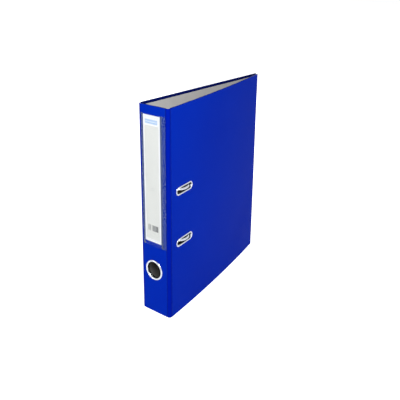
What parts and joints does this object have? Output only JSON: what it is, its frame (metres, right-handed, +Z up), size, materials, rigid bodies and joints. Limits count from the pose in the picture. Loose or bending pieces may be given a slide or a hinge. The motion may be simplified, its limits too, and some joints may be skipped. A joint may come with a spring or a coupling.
{
  "type": "lever arch file",
  "caption": "Upright board-and-film lever arch file for punched A4 sheets, with a spring-loaded arch mechanism, slotted front cover, finger ring and spine label.",
  "frame": {"origin": "On the surface the file stands on, under the middle of its bounding box.", "axes": "+Z up, along the file's height. The spine looks along -Y and the covers run back along +Y. The front cover is on the +X side."},
  "size_m": [0.0566, 0.2866, 0.318],
  "materials": {
    "cover_board": "satin",
    "cover_film": "smooth satin polypropylene film",
    "lining_paper": "matt",
    "crease_film": "smooth satin polypropylene film",
    "nickel": "bright nickel plate",
    "zinc_steel": "bright zinc plate",
    "spring_steel": "bare spring steel",
    "clear_film": "clear film",
    "label_paper": "uncoated card",
    "roller_plastic": "plain"
  },
  "bodies": {
    "back_cover": {"back_board": "cover_board", "back_cover_film": "cover_film", "back_cover_lining": "lining_paper", "back_hinge_strip": "crease_film", "base_plate": "zinc_steel", "mechanism_rivets": "nickel", "upper_post": "nickel", "lower_post": "nickel", "leaf_spring": "spring_steel", "spring_rivet": "nickel", "lever_pivot_pins": "zinc_steel"},
    "spine": {"spine_board": "cover_board", "spine_film": "cover_film", "spine_lining": "lining_paper", "finger_ring": "nickel", "finger_ring_washer": "nickel", "label_pocket": "clear_film", "front_hinge_strip": "crease_film"},
    "front_cover": {"front_board": "cover_board", "front_cover_film": "cover_film", "front_cover_lining": "lining_paper", "upper_slot_eyelet": "nickel", "upper_slot_washer": "nickel", "lower_slot_eyelet": "nickel", "lower_slot_washer": "nickel"},
    "arches": {"arch_bow": "nickel"},
    "lever": {"lever": "nickel", "roller_pin": "zinc_steel"},
    "roller": {"pressure_roller": "roller_plastic"},
    "compressor": {"compressor_bar": "nickel", "compressor_spring": "spring_steel", "compressor_rivet": "nickel"},
    "label": {"label_card": "label_paper"}
  },
  "joints": [
    {"name": "spine_hinge", "type": "hinge", "parent": "back_cover", "child": "spine", "pos_m": [-0.02711, -0.1417, 0.159], "axis": [0, 0, -1], "range_deg": [0, 90], "deforming": ["back_hinge_strip"]},
    {"name": "front_cover_hinge", "type": "hinge", "parent": "spine", "child": "front_cover", "pos_m": [0.0289, -0.1417, 0.159], "axis": [0, 0, -1], "range_deg": [0, 99.7], "deforming": ["front_hinge_strip"]},
    {"name": "lever_lift", "type": "hinge", "parent": "back_cover", "child": "lever", "pos_m": [-0.01166, -0.101, 0.155], "axis": [0, 0, 1], "range_deg": [0, 66.6]},
    {"name": "arch_swing", "type": "hinge", "parent": "back_cover", "child": "arches", "pos_m": [-0.0193, -0.1064, 0.155], "axis": [0, 0, -1], "range_deg": [0, 34.1]},
    {"name": "roller_spin", "type": "hinge", "parent": "lever", "child": "roller", "pos_m": [-0.01525, -0.1018, 0.155], "axis": [0, 0, 1], "continuous": true},
    {"name": "compressor_slide", "type": "slide", "parent": "back_cover", "child": "compressor", "axis": [1, 0, 0], "range_m": [0, 0.018]},
    {"name": "label_slide", "type": "slide", "parent": "spine", "child": "label", "axis": [0, 0, 1], "range_m": [0, 0.19]}
  ],
  "couplings": [
    {"joint": "arch_swing", "follows": "lever_lift", "ratio": 0.512}
  ]
}
